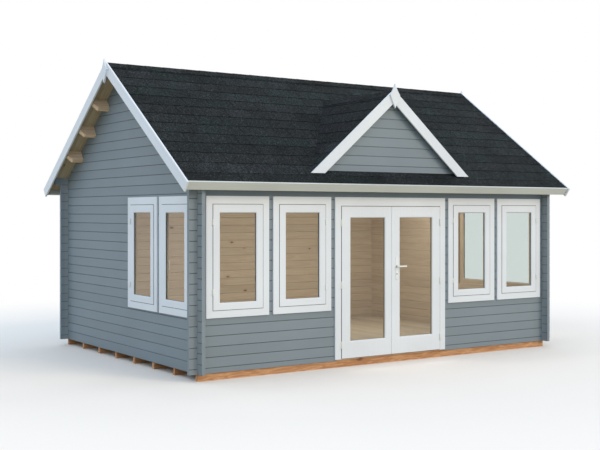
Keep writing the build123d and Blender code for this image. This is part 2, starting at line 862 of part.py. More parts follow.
def window_nodes():
    """The eight windows, piece by piece."""
    ring = make_sash_ring()
    stiles = make_stiles(ring)
    rails = make_rails(ring)
    frame = frame_ring(window_half, window_foot, window_top, window_faces, window_laps, sash_back)
    jambs = frame_jambs(frame, window_half, jamb_foot, jamb_top)
    head = frame & block(-window_half, window_half, -frame_proud, inner_face, jamb_top, window_top)
    sill = frame & block(-window_half, window_half, -frame_proud, inner_face, window_foot, jamb_foot)
    pane = glazing(window_glass, pane_middle, pane_thickness)
    hinges = {side: make_window_hinges(side) for side in (-1, 1)}
    handles = {side: make_window_handle(side) for side in (-1, 1)}
    names = ("jambs", "heads", "sills", "stiles", "rails", "panes", "hinges", "handles")
    nodes = {"window_" + name: [] for name in names}
    for place, side in window_places():
        nodes["window_jambs"] += [place * jamb for jamb in jambs]
        nodes["window_heads"].append(place * head)
        nodes["window_sills"].append(place * sill)
        nodes["window_stiles"] += [place * stile for stile in stiles]
        nodes["window_rails"] += [place * rail for rail in rails]
        nodes["window_panes"].append(place * pane)
        nodes["window_hinges"] += [place * hinge for hinge in hinges[side]]
        nodes["window_handles"].append(place * handles[-side])
    return nodes


def main():
    """Write one file for each node."""
    os.makedirs("parts", exist_ok=True)
    nodes = {}
    for group in (floor_nodes, wall_nodes, roof_nodes, dormer_nodes, door_nodes, window_nodes):
        nodes.update(group())
    for name, pieces in nodes.items():
        solids = [solid for piece in pieces for solid in piece.solids()]
        export_step(Compound(label=name, children=solids), os.path.join("parts", name + ".step"))


main()
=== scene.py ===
import random
from math import ceil, cos, pi, radians, sin, tan

import bmesh
import bpy
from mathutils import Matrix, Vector


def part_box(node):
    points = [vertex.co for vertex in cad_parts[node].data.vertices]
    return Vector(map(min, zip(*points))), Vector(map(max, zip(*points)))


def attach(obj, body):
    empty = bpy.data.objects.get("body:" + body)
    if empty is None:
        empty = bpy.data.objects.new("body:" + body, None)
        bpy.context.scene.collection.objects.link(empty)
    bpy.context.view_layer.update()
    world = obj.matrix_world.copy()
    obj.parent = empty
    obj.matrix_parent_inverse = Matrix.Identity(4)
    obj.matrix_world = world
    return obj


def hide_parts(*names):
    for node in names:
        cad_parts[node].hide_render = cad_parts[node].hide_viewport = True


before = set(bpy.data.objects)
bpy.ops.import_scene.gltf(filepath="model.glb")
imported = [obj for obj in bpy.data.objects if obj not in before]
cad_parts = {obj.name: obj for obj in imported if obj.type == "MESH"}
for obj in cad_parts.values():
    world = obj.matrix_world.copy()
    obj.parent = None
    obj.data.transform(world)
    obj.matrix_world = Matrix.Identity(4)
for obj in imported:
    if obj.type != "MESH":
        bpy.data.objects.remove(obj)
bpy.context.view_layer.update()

# Camera, as the photo was taken
CAMERA_PLACE = (-7.819, -11.612, 1.8146)
CAMERA_TURN = radians(-33.91)
CAMERA_LENS = 61.49
CAMERA_SENSOR = 36.0
CAMERA_SHIFT = (-0.0050, -0.0211)

# Slopes of the two roofs
ROOF_PITCH = radians(35.2)
DORMER_PITCH = radians(40.5)

# Log courses: cover height, and the lowest course lines of the long walls, the side walls and the dormer
LOG_COURSE = 0.114
LONG_WALL_LINE = 0.137
SIDE_WALL_LINE = 0.194
DORMER_LINE = 2.372
WALL_THICKNESS = 0.044
LOG_END = 0.100

# Painted shade in the seams between logs: the dark core and the whole groove on either side of a course line
SEAM_CORE = 0.0010
SEAM_REACH = 0.0050
SEAM_END = 0.003

# Shingles
SHINGLE_LAYER = 0.010
EXPOSURE = 0.2058
EAVE_EXPOSURE = 0.170
SHINGLE_LAP = 0.050
SHINGLE_THICKNESS = 0.0042
TAB_WIDTH = 1 / 3
TABS_IN_STRIP = 3
TAB_SLOT = 0.0044
TAB_LIFT = 0.0007
TAB_STAGGER = 0.02
TAB_RAGGED = 0.0015
SPARE_TABS = 2
FEWEST_CORNERS = 3
HEAD_DEPTH = 0.0055
BUTT_DEPTH = 0.0009
UNDERLAY = (0.0098, 0.0099)
CAP_REACH = 0.125
CAP_RISE = 0.004
CAP_THICKNESS = 0.003
CAP_EXPOSURE = 0.25
CAP_LAP = 0.05
CAP_SETTLE = 0.003
CAP_FOLD = 0.012

# Roof deck and floor boards
DECK_THICKNESS = 0.019
DECK_BOARD = 0.096
FLOOR_BOARD = 0.121
BOARD_CHAMFER = 0.004
BOARD_GAP = 0.0006

# Seals of the sashes and of the door: sections by distance from the edge and by reach out of the wall's face
SASH_HALF = 0.3145
SASH_SEAL = ((0.0002, 0.0120), (0.0039, 0.0120), (0.0039, 0.0179), (0.0056, 0.0179), (0.0056, 0.0190),
             (0.0002, 0.0194))
DOOR_SEAL = ((0.0036, -0.0150), (0.0049, -0.0150), (0.0049, 0.0179), (0.0072, 0.0179), (0.0072, 0.0190),
             (0.0036, 0.0194))
LEAF_SEAL = ((-0.0004, -0.0180), (0.0012, -0.0160), (0.0012, -0.0020), (0.0006, 0.0), (0.0012, 0.0020),
             (0.0012, 0.0185), (-0.0004, 0.0195))
LEAF_SEAL_END = 0.004
PANE_SEAL = ((0.0002, 0.0), (-0.0016, 0.0), (-0.0016, 0.0078), (0.0002, 0.0090))
PANE_SEAT = 0.010
MEETING_BEAD = ((-0.0002, -0.0205), (0.0042, -0.0185), (0.0042, 0.0175), (0.0032, 0.0198), (-0.0002, 0.0205))
MEETING_BEAD_END = 0.002

# Hinges, by share of the barrel's height and radius, and of the plate's reach and rise
FRAME_FACE = 0.018
BARREL_SHARES = ((0.0, 0.30), (0.008, 0.66), (0.025, 0.90), (0.05, 0.98), (0.485, 0.98), (0.492, 0.86),
                 (0.508, 0.86), (0.515, 0.98), (0.95, 0.98), (0.975, 0.90), (0.992, 0.66), (1.0, 0.30))
DOOR_BARREL_RADIUS = 0.008
WINDOW_BARREL_RADIUS = 0.007
BARREL_SEAT_SHARE = 0.951
HINGE_PLATE_SHARES = ((1.0, 0.0), (1.0, 0.16), (0.55, 0.26), (0.0, 1.0), (0.0, 0.62), (0.16, 0.0))
HINGE_END_SHARES = ((0.06, 0.7), (0.09, 1.0), (0.91, 1.0), (0.94, 0.7))
PLATE_HIGH_SHARE = 0.5
TURNED_SIDES = 18
SHARP_EDGE = radians(40)
BAR_SHARP_EDGE = radians(50)

# Lever, lock plates and window handles
LEVER_SPINDLE = (0.061, 1.160)
LEVER_HALF_HEIGHT = 0.0092
LEVER_HALF_THICKNESS = 0.0068
BAR_BEND = 0.016
BAR_BEND_STEPS = 6
BAR_SIDES = 14
BAR_TIP_SHARES = ((0.0, 1.0), (0.45, 0.90), (0.80, 0.61), (0.95, 0.33), (1.0, 0.10))
LOCK_SHARES = ((0.0, 0.05), (0.012, 0.30), (0.035, 0.52), (0.075, 0.63), (0.14, 0.60), (0.19, 0.70),
               (0.256, 0.86), (0.33, 0.72), (0.42, 0.66), (0.50, 0.82), (0.581, 0.99), (0.66, 0.82),
               (0.74, 0.66), (0.84, 0.60), (0.90, 0.64), (0.95, 0.56), (0.982, 0.34), (1.0, 0.05))
LOCK_BEVEL = ((0.0, 0.0), (0.0048, 0.0), (0.0066, 0.0010), (0.0074, 0.0028))
LOCK_DOME_SHARES = ((0.0, 1.0), (0.3, 0.92), (0.62, 0.68), (0.85, 0.36), (1.0, 0.08))
LOCK_SCREW_SHARES = (0.075, 0.90)
LOCK_SCREW = (0.0044, 0.0022)
ROSE_PROFILE = ((0.0066, 0.0165), (0.0090, 0.0165), (0.0105, 0.0150), (0.0110, 0.0125), (0.0180, 0.0112),
                (0.0186, 0.0100))
CYLINDER_SHARE = 0.256
CYLINDER_PROFILE = ((0.0066, 0.0095), (0.0100, 0.0095), (0.0108, 0.0085))
KEYWAY = (0.0011, 0.0042, 0.0112)
LOCK_STEPS = 48
HANDLE_BASE = (0.013, 0.030)
HANDLE_BASE_BEVEL = ((0.0, 0.0), (0.0085, 0.0), (0.0110, 0.0016), (0.0118, 0.0036))
HANDLE_CORNER = 0.007
HANDLE_STAND = 0.034
HANDLE_HALF_WIDTH = 0.0076
HANDLE_HALF_THICKNESS = 0.0058
HANDLE_RISE = 0.008
HANDLE_LENGTH = 0.120
SASH_BACK = -0.022
WELD = 0.00001

# Noise: how fine it goes, and the span of it that is used. A fit turns its first two values into its last two
LEAST_DETAIL = 1.0
LITTLE_DETAIL = 2.0
NOISE_DETAIL = 3.0
MUCH_DETAIL = 4.0
NOISE_SPAN = (0.3, 0.7)

# Knots: how densely they lie, their sizes, and how far the darker wood around them reaches
KNOT_SCALE = 4.8
KNOT_HALO = 2.4
KNOT_SIZE = 0.019
BEARER_KNOT = 0.034
KNOT_LEAST_SHARE = 0.5
KNOT_EDGE_FIT = (0.55, 1.15, 1.0, 0.0)
KNOT_STRETCH = 0.5
LONG_GRAIN = 0.5
HALO_SHARE = 0.45
KNOT_SHARE = 0.88

# Wood: rings and fibres in a band, and their shares in the tone and the height
RING_BEND = 0.6
RINGS_IN_BAND = 9.0
FIBRES_IN_BAND = 9.0
RING_TONE_SHARE = 0.55
FIBRE_TONE_SHARE = 0.45
RING_SINK_SHARE = 0.3
FIBRE_RISE_SHARE = 0.6
WOOD_TONE_FIT = (0.15, 0.95, 0.0, 1.0)
BARE_SPAN = (0.0, 0.6)
BARE_SWING = 0.08

# Bare woods: grain along each axis and bands in a metre, then roughness, relief and size of the knots
ROOM_LOG_FIGURE = ((0.16, 0.16, 2.2), 6.0)
UPRIGHT_FIGURE = ((1.6, 1.6, 0.14), 9.0)
LEVEL_FIGURE = ((0.14, 0.14, 1.6), 9.0)
PURLIN_FIGURE = ((0.10, 1.6, 1.6), 9.0, 0.62, 0.0005)
BEARER_FIGURE = ((0.20, 1.5, 1.5), 11.0, 0.75, 0.0009, BEARER_KNOT)
THRESHOLD_FIGURE = ((0.1, 1.5, 1.5), 10.0, 0.6, 0.0004)
DECK_FIGURE = ((2.2, 0.12, 0.12), 7.0, 0.64, 0.0005)
FLOOR_FIGURE = ((2.2, 0.12, 1.0), 7.0, 0.50, 0.0003)
LOG_FIGURE_STEP = 3.7
BOARD_FIGURE_STEP = 23.0
ROOM_LOG_TONES = (0.95, 1.05)
BOARD_TONES = (0.86, 1.10)

# Paint: brush strokes along each axis, and what they do to tone, roughness and relief
LOG_STROKES = (3.0, 3.0, 150.0)
UPRIGHT_STROKES = (170.0, 170.0, 3.0)
LEVEL_STROKES = (3.0, 3.0, 170.0)
EDGE_STROKES = (40.0, 40.0, 40.0)
FASCIA_STROKES = (3.0, 90.0, 90.0)
STROKE_FIT = (0.25, 0.75, -0.030, 0.030)
CLOUD_SCALE = 1.6
CLOUD_FIT = (*NOISE_SPAN, -0.030, 0.030)
PAINT_TONES = (0.965, 1.035)
WHITE_TONE_SCALE = 0.8
LOG_ROUGH_FIT = (0.2, 0.8, 0.48, 0.62)
LOG_RELIEF = 0.0004
WHITE_ROUGH_FIT = (0.2, 0.8, 0.36, 0.50)
WHITE_RELIEF = 0.0003
# How far the painted shade in the seams darkens them: on the walls, on the dormer and on the bare logs in the
# room
WALL_SEAM_SHARE = 0.8
DORMER_SEAM_SHARE = 0.5
ROOM_SEAM_SHARE = 0.7

# Face of the shingles: hue, stains, coarse grain, chips, grit, and painted shade with patches of dirt below
# the next course
HUE_STEP = 91.0
HUE_FIT = (0.3, 0.9, 0.0, 1.0)
STAIN_SCALE = 2.4
STAIN_FIT = (0.40, 0.66, 0.0, 0.75)
SHINGLE_TONES = (0.74, 1.30)
COARSE_SCALE = 48.0
COARSE_FIT = (0.32, 0.68, 0.40, 1.60)
CHIP_SCALE = 108.0
CHIP_TONES = (0.22, 1.78)
CHIP_FIT = (0.90, 1.0, 0.0, 0.50)
GRIT_SCALE = 260.0
GRIT_FIT = (0.86, 1.0, 0.0, 0.45)
SHADE_AND_DIRT_SCALE = 4.5
SHADE_AND_DIRT_FIT = (0.36, 0.60, 0.25, 1.0)
SHADE_AND_DIRT_LOW = 0.016
SHADE_AND_DIRT_HIGH = 0.002
SHADE_AND_DIRT_SHARE = 0.78
SHINGLE_SPECULAR = 0.12
SHINGLE_ROUGH_FIT = (*NOISE_SPAN, 0.82, 0.96)
SHINGLE_RELIEF = 0.0012

# Glass, and metals and rubber by swing of the tone, range of the roughness and relief
GLASS_IOR = 1.5
GLASS_ROUGHNESS = 0.01
ENAMEL_COAT = 0.3
ENAMEL_SCALE = 900.0
ENAMEL_FINISH = (0.02, (0.24, 0.32), 0.00004)
STEEL_STROKES = (900.0, 900.0, 90.0)
STEEL_FINISH = (0.06, (0.28, 0.40), 0.00003)
SEAL_SCALE = 400.0
SEAL_FINISH = (0.15, (0.72, 0.88), 0.00005)

# Colours, linear
LOG_PAINT = (0.218, 0.257, 0.289)
# Painted shade in the seams between logs
LOG_SEAM_SHADE = (0.030, 0.038, 0.042)
# Painted light on the log ends just past the corners
LOG_PAINTED_LIGHT = (0.315, 0.335, 0.340)
WHITE_PAINT = (0.785, 0.797, 0.840)
# The fascias get a greyer, warmer white than the other white boards
FASCIA_GREYER_WHITE = (0.605, 0.615, 0.590)
SPRUCE_PALE = (0.615, 0.490, 0.350)
SPRUCE_DARK = (0.535, 0.400, 0.262)
# The spruce of the purlins and dormer boards is set paler than the other spruce: painted light, standing in
# for sun on them
PURLIN_PALE = (0.89, 0.68, 0.48)
PURLIN_DARK = (0.66, 0.43, 0.26)
# The deck's spruce is set darker than the other spruce: painted shade for the soffit under the eaves
DECK_PALE = (0.53, 0.43, 0.29)
DECK_DARK = (0.42, 0.315, 0.20)
# Painted shade in the seams between the bare logs in the room
SPRUCE_SEAM_SHADE = (0.20, 0.115, 0.055)
KNOT = (0.13, 0.058, 0.022)
BEARER_PALE = (0.69, 0.365, 0.178)
BEARER_DARK = (0.40, 0.168, 0.066)
FLOOR_PALE = (0.54, 0.435, 0.315)
FLOOR_DARK = (0.45, 0.35, 0.235)
SHINGLE_GREY = (0.0178, 0.0207, 0.0230)
SHINGLE_GREEN = (0.0135, 0.0205, 0.0207)
SHINGLE_BLACK = (0.0088, 0.0105, 0.0118)
SHINGLE_SHADE = (0.0035, 0.0045, 0.0055)
SEAL_DARK = (0.050, 0.050, 0.050)
SEAL_GREY = (0.160, 0.155, 0.145)
SEAL_BROWN = (0.210, 0.135, 0.072)
ENAMEL_WHITE = (0.84, 0.845, 0.85)
ENAMEL_CREAM = (0.90, 0.89, 0.83)
STEEL = (0.33, 0.34, 0.36)
# Painted shade that fills the keyway
KEYWAY_SHADE = (0.03, 0.03, 0.03)
GLASS_TINT = (0.885, 0.912, 0.905)
GRIT_PALE = (0.085, 0.092, 0.098)

# Light
WHITE_LIGHT = (1.0, 1.0, 1.0)
SKY_LIGHT = (0.84, 1.03, 1.23)
SUN_COLOUR = (1.0, 0.78, 0.48)
SUN_STRENGTH = 1.08
SUN_ANGLE = radians(28)
SUN_TURN = (radians(67), 0, radians(26))
ROOM_LIGHT_POWER = 64.0
ROOM_LIGHT_SHIFT = 0.4
ROOM_LIGHT_SIZE = (4.2, 1.0)
ROOM_LIGHT_HEIGHT = 2.45
FLOOR_BOUNCE = (0.43, 0.372, 0.25)
FLOOR_PALE_SEEN = (0.94, 0.83, 0.745)
FLOOR_REACH = 60.0
FADE_START = 5.0
FADE_END = 9.0

# Seed of the random draws, and the tone of a solid that draws none
DRAW_SEED = 7
MID_TONE = 0.5

# Sockets of a mix of two colours
MIX_FACTOR = 0
MIX_FIRST = 6
MIX_SECOND = 7
MIX_RESULT = 2

# Worked out from the frame
ROOF_COS = cos(ROOF_PITCH)
ROOF_SIN = sin(ROOF_PITCH)
ROOF_TAN = tan(ROOF_PITCH)
DORMER_COS = cos(DORMER_PITCH)
DORMER_SIN = sin(DORMER_PITCH)
DORMER_TAN = tan(DORMER_PITCH)
ridge_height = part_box("roof_shingles_rear")[1].z
roof_half_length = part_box("roof_shingles_rear")[1].x
eave_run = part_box("roof_shingles_rear")[1].y / ROOF_COS
dormer_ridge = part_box("dormer_shingles_left")[1].z
dormer_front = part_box("dormer_shingles_left")[0].y
dormer_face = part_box("dormer_gable")[0].y
half_length = -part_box("left_wall_lower")[0].x
half_width = -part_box("front_wall_left")[0].y

draw = random.Random(DRAW_SEED)


class Nodes:
    """The node tree of a material or a world, built by short calls."""

    def __init__(self, owner):
        owner.use_nodes = True
        self.owner = owner
        self.tree = owner.node_tree
        self.shader = self.tree.nodes.get("Principled BSDF")

    def put(self, socket, value):
        if isinstance(value, bpy.types.NodeSocket):
            self.tree.links.new(value, socket)
        elif socket.type == "RGBA":
            socket.default_value = (*value, 1.0)
        else:
            socket.default_value = value

    def node(self, kind, values, **settings):
        node = self.tree.nodes.new("ShaderNode" + kind)
        for key, value in settings.items():
            setattr(node, key, value)
        for key, value in values.items():
            self.put(node.inputs[key], value)
        return node

    def set(self, key, value):
        self.put(self.shader.inputs[key], value)

    def surface(self, colour, pattern, rough_fit, height, relief):
        """The material with its colour, a roughness that follows a pattern, and a relief."""
        self.set("Base Color", colour)
        self.set("Roughness", self.fit(pattern, *rough_fit))
        self.set("Normal", self.bump(height, relief))
        return self.owner

    def blend(self, output, factor, first, second):
        """The material or world with two shaders mixed by a factor."""
        mixed = self.node("MixShader", {0: factor, 1: first, 2: second}).outputs[0]
        self.put(self.tree.nodes[output].inputs["Surface"], mixed)
        return self.owner

    def place(self):
        return self.node("TexCoord", {}).outputs["Object"]

    def axes(self, vector):
        return self.node("SeparateXYZ", {"Vector": vector}).outputs

    def scaled(self, vector, scale):
        return self.node("VectorMath", {0: vector, 1: scale}, operation="MULTIPLY").outputs[0]

    def shifted(self, vector, axis, value):
        offset = self.node("CombineXYZ", {axis: value}).outputs[0]
        return self.node("VectorMath", {0: vector, 1: offset}, operation="ADD").outputs[0]

    def math(self, operation, first, second=0.0):
        return self.node("Math", {0: first, 1: second}, operation=operation).outputs[0]

    def times(self, first, second):
        return self.math("MULTIPLY", first, second)

    def fit(self, value, low, high, out_low, out_high):
        values = {"Value": value, "From Min": low, "From Max": high, "To Min": out_low, "To Max": out_high}
        return self.node("MapRange", values).outputs["Result"]

    def noise(self, vector, scale, detail=NOISE_DETAIL, distortion=0.0):
        values = {"Vector": vector, "Scale": scale, "Detail": detail, "Distortion": distortion}
        return self.node("TexNoise", values).outputs["Fac"]

    def random(self, value):
        return self.node("TexWhiteNoise", {"W": value}, noise_dimensions="1D").outputs["Value"]

    def cells(self, vector, scale):
        return self.node("TexVoronoi", {"Vector": vector, "Scale": scale}, feature="F1").outputs

    def mix(self, factor, first, second):
        """The second colour laid over the first by a factor."""
        values = {MIX_FACTOR: factor, MIX_FIRST: first, MIX_SECOND: second}
        return self.node("Mix", values, data_type="RGBA").outputs[MIX_RESULT]

    def shade(self, colour, factor):
        """A colour made lighter or darker by a factor near 1."""
        return self.node("VectorMath", {0: colour, "Scale": factor}, operation="SCALE").outputs[0]

    def attribute(self, name):
        return self.node("Attribute", {}, attribute_name=name).outputs["Fac"]

    def bump(self, height, distance):
        return self.node("Bump", {"Height": height, "Distance": distance, "Strength": 1.0}).outputs["Normal"]

    def shown(self):
        """1 for rays that show the backdrop: from the camera, off a mirror or through glass."""
        rays = self.node("LightPath", {}).outputs
        seen = rays["Is Camera Ray"]
        for other in ("Is Glossy Ray", "Is Transmission Ray"):
            seen = self.math("MAXIMUM", seen, rays[other])
        return seen


# Finishes

def new_material(name):
    """The nodes of a new material."""
    return Nodes(bpy.data.materials.new(name))


def knots(n, vector, size):
    """1 in the heart of a knot and 0 away from it."""
    cell = n.cells(vector, KNOT_SCALE)
    largest = size * KNOT_SCALE
    reach = n.fit(n.axes(cell["Color"])[0], 0, 1, largest * KNOT_LEAST_SHARE, largest)
    return n.fit(n.math("DIVIDE", cell["Distance"], reach), *KNOT_EDGE_FIT)


def wood_layers(n, vector, pale, dark, grain, band_scale, knot_size=KNOT_SIZE):
    """Colour and height of planed softwood whose grain runs along the small entries of grain."""
    stretched = n.scaled(vector, grain)
    waves = n.noise(stretched, band_scale, LITTLE_DETAIL, RING_BEND)
    rings = n.math("PINGPONG", n.times(waves, RINGS_IN_BAND), 1.0)
    fibres = n.noise(stretched, band_scale * FIBRES_IN_BAND, MUCH_DETAIL)
    spread = n.scaled(vector, tuple(KNOT_STRETCH if entry < LONG_GRAIN else 1.0 for entry in grain))
    knot = knots(n, spread, knot_size)
    halo = knots(n, spread, knot_size * KNOT_HALO)
    ring_tone = n.times(rings, RING_TONE_SHARE)
    tone = n.math("ADD", ring_tone, n.times(fibres, FIBRE_TONE_SHARE))
    colour = n.mix(n.fit(tone, *WOOD_TONE_FIT), pale, dark)
    colour = n.mix(n.times(halo, HALO_SHARE), colour, dark)
    colour = n.mix(n.times(knot, KNOT_SHARE), colour, KNOT)
    rise = n.times(fibres, FIBRE_RISE_SHARE)
    return colour, n.math("SUBTRACT", rise, n.times(rings, RING_SINK_SHARE))


def paint_layers(n, vector, strokes, colour, tone):
    """Colour and height of a brushed coat of paint over sawn wood."""
    streaks = n.noise(n.scaled(vector, strokes), 1.0, MUCH_DETAIL)
    clouds = n.noise(vector, CLOUD_SCALE, LITTLE_DETAIL)
    light = n.math("ADD", n.fit(streaks, *STROKE_FIT), n.fit(clouds, *CLOUD_FIT))
    light = n.math("ADD", light, n.fit(tone, 0, 1, *PAINT_TONES))
    return n.shade(colour, light), streaks


def in_room(n, place, depth):
    """1 further in than a depth behind the walls' outer faces, and 0 outside."""
    axes = n.axes(place)
    in_length = n.math("LESS_THAN", n.math("ABSOLUTE", axes["X"]), half_length - depth)
    in_width = n.math("LESS_THAN", n.math("ABSOLUTE", axes["Y"]), half_width - depth)
    return n.times(in_length, in_width)


def log_material(name, log_axis, corner, first_line, seam_share, inside):
    """Painted logs along an axis, with painted shade at their seams, painted light on the ends past the
    corners, and bare in the room.
    """
    n = new_material(name)
    place = n.place()
    axes = n.axes(place)
    rise = n.math("SUBTRACT", axes["Z"], first_line)
    course = n.math("FLOOR", n.math("DIVIDE", rise, LOG_COURSE))
    tone = n.random(course)
    seam = n.math("PINGPONG", rise, LOG_COURSE / 2)
    along = n.math("ABSOLUTE", axes[log_axis])
    on_face = n.math("LESS_THAN", along, corner + LOG_END - SEAM_END)
    # Painted shade in the seams: darkest at each course line and fading across the groove, stopping short of
    # the log ends
    groove = n.times(on_face, n.fit(seam, SEAM_CORE, SEAM_REACH, seam_share, 0.0))
    # Painted light: the log ends past each corner are painted paler, fading back to the plain paint at the
    # tip
    past = n.math("GREATER_THAN", along, corner)
    painted_light = n.times(past, n.fit(along, corner, corner + LOG_END, 1.0, 0.0))
    coat = n.mix(painted_light, LOG_PAINT, LOG_PAINTED_LIGHT)
    colour, streaks = paint_layers(n, place, LOG_STROKES, coat, tone)
    colour = n.mix(groove, colour, LOG_SEAM_SHADE)
    height = streaks
    if inside:
        own = n.shifted(place, "X", n.times(course, LOG_FIGURE_STEP))
        bare, bare_height = wood_layers(n, own, SPRUCE_PALE, SPRUCE_DARK, *ROOM_LOG_FIGURE)
        bare = n.shade(bare, n.fit(tone, 0, 1, *ROOM_LOG_TONES))
        # Painted shade in the seams of the bare logs on the room side
        bare = n.mix(n.fit(seam, SEAM_CORE / 2, SEAM_REACH / 2, ROOM_SEAM_SHARE, 0.0), bare, SPRUCE_SEAM_SHADE)
        room = in_room(n, place, WALL_THICKNESS / 2)
        colour = n.mix(room, colour, bare)
        height = n.mix(room, streaks, bare_height)
    return n.surface(colour, streaks, LOG_ROUGH_FIT, height, LOG_RELIEF)


def white_material(name, paint, strokes, bare_figure=None):
    """Satin white paint on planed wood, left bare towards the room where a bare figure is given."""
    n = new_material(name)
    place = n.place()
    tone = n.noise(place, WHITE_TONE_SCALE, LEAST_DETAIL)
    colour, height = paint_layers(n, place, strokes, paint, tone)
    if bare_figure:
        room = in_room(n, place, 0.0)
        bare, bare_height = wood_layers(n, place, SPRUCE_PALE, SPRUCE_DARK, *bare_figure)
        colour = n.mix(room, colour, bare)
        height = n.mix(room, height, bare_height)
    return n.surface(colour, height, WHITE_ROUGH_FIT, height, WHITE_RELIEF)


def wood_material(name, pale, dark, grain, band_scale, roughness, relief, knot_size=KNOT_SIZE, boards=False):
    """Bare wood in one piece, or in boards that each have their own figure and tone."""
    n = new_material(name)
    place = n.place()
    if boards:
        tone = n.attribute("tone")
        place = n.shifted(place, "Z", n.times(tone, BOARD_FIGURE_STEP))
    colour, height = wood_layers(n, place, pale, dark, grain, band_scale, knot_size)
    if boards:
        colour = n.shade(colour, n.fit(tone, 0, 1, *BOARD_TONES))
    rough_fit = (*BARE_SPAN, roughness + BARE_SWING, roughness - BARE_SWING)
    return n.surface(colour, height, rough_fit, height, relief)


def shingle_material():
    """Bitumen shingle with mineral grit, each strip of its own tone."""
    n = new_material("bitumen_shingle")
    n.set("Specular IOR Level", SHINGLE_SPECULAR)
    place = n.place()
    tone = n.attribute("tone")
    hue = n.random(n.times(tone, HUE_STEP))
    colour = n.mix(n.fit(hue, *HUE_FIT), SHINGLE_GREY, SHINGLE_GREEN)
    stains = n.noise(place, STAIN_SCALE)
    colour = n.mix(n.fit(stains, *STAIN_FIT), colour, SHINGLE_BLACK)
    colour = n.shade(colour, n.fit(tone, 0, 1, *SHINGLE_TONES))
    coarse = n.noise(place, COARSE_SCALE)
    colour = n.shade(colour, n.fit(coarse, *COARSE_FIT))
    chip = n.axes(n.cells(place, CHIP_SCALE)["Color"])[0]
    colour = n.shade(colour, n.fit(chip, 0, 1, *CHIP_TONES))
    grit = n.cells(place, GRIT_SCALE)
    colour = n.mix(n.fit(n.axes(grit["Color"])[1], *GRIT_FIT), colour, GRIT_PALE)
    colour = n.mix(n.fit(chip, *CHIP_FIT), colour, GRIT_PALE)
    # Painted shade with patches of dirt: a dark band just below the butts of the next course
    shade_and_dirt = n.fit(n.attribute("drop"), EXPOSURE - SHADE_AND_DIRT_LOW, EXPOSURE - SHADE_AND_DIRT_HIGH, 0.0, SHADE_AND_DIRT_SHARE)
    shade_and_dirt = n.times(shade_and_dirt, n.fit(n.noise(place, SHADE_AND_DIRT_SCALE), *SHADE_AND_DIRT_FIT))
    colour = n.mix(shade_and_dirt, colour, SHINGLE_SHADE)
    height = n.math("ADD", grit["Distance"], coarse)
    return n.surface(colour, coarse, SHINGLE_ROUGH_FIT, height, SHINGLE_RELIEF)


def glass_material():
    """Clear glazing that mirrors by its angle and lets light through."""
    n = new_material("clear_glass")
    n.tree.nodes.remove(n.shader)
    outside = n.math("SUBTRACT", 1.0, n.node("NewGeometry", {}).outputs["Backfacing"])
    fresnel = n.times(n.node("Fresnel", {"IOR": GLASS_IOR}).outputs[0], outside)
    clear = n.node("BsdfTransparent", {"Color": GLASS_TINT}).outputs[0]
    mirror = n.node("BsdfGlossy", {"Roughness": GLASS_ROUGHNESS}).outputs[0]
    return n.blend("Material Output", fresnel, clear, mirror)


def fine_finish(n, colour, pattern, swing, roughness, relief):
    """A finish whose tone, roughness and relief follow one fine pattern."""
    shaded = n.shade(colour, n.fit(pattern, *NOISE_SPAN, 1 - swing, 1 + swing))
    return n.surface(shaded, pattern, (*NOISE_SPAN, *roughness), pattern, relief)


def enamel_material(name, colour):
    """Stove enamel on metal fittings."""
    n = new_material(name)
    n.set("Coat Weight", ENAMEL_COAT)
    return fine_finish(n, colour, n.noise(n.place(), ENAMEL_SCALE, LITTLE_DETAIL), *ENAMEL_FINISH)


def steel_material():
    """Brushed steel, with painted shade in the keyway where the mesh's tone is 0."""
    n = new_material("brushed_steel")
    n.set("Metallic", 1.0)
    brush = n.noise(n.scaled(n.place(), STEEL_STROKES), 1.0, LITTLE_DETAIL)
    return fine_finish(n, n.mix(n.attribute("tone"), KEYWAY_SHADE, STEEL), brush, *STEEL_FINISH)


def seal_material(name, colour):
    """Dull rubber seal."""
    n = new_material(name)
    return fine_finish(n, colour, n.noise(n.place(), SEAL_SCALE), *SEAL_FINISH)


long_logs = log_material("painted_logs_long", "X", half_length, LONG_WALL_LINE, WALL_SEAM_SHARE, True)
side_logs = log_material("painted_logs_side", "Y", half_width, SIDE_WALL_LINE, WALL_SEAM_SHARE, True)
dormer_logs = log_material("painted_logs_dormer", "X", half_length, DORMER_LINE, DORMER_SEAM_SHARE, False)
white_upright = white_material("white_paint_upright", WHITE_PAINT, UPRIGHT_STROKES, UPRIGHT_FIGURE)
white_level = white_material("white_paint_level", WHITE_PAINT, LEVEL_STROKES, LEVEL_FIGURE)
white_edge = white_material("white_paint_edge", WHITE_PAINT, EDGE_STROKES)
fascia_greyer_white = white_material("greyer_white_fascia", FASCIA_GREYER_WHITE, FASCIA_STROKES)
purlin_wood = wood_material("purlin_spruce", PURLIN_PALE, PURLIN_DARK, *PURLIN_FIGURE)
bearer_wood = wood_material("bearer_wood", BEARER_PALE, BEARER_DARK, *BEARER_FIGURE)
threshold_wood = wood_material("threshold_wood", SPRUCE_DARK, BEARER_DARK, *THRESHOLD_FIGURE)
deck_wood = wood_material("deck_spruce", DECK_PALE, DECK_DARK, *DECK_FIGURE, boards=True)
floor_wood = wood_material("floor_spruce", FLOOR_PALE, FLOOR_DARK, *FLOOR_FIGURE, boards=True)
shingle = shingle_material()
clear_glass = glass_material()
enamel = enamel_material("white_enamel", ENAMEL_WHITE)
cream_enamel = enamel_material("cream_enamel", ENAMEL_CREAM)
steel = steel_material()
seal = seal_material("rubber_seal", SEAL_DARK)
grey_seal = seal_material("grey_seal", SEAL_GREY)
brown_seal = seal_material("brown_seal", SEAL_BROWN)

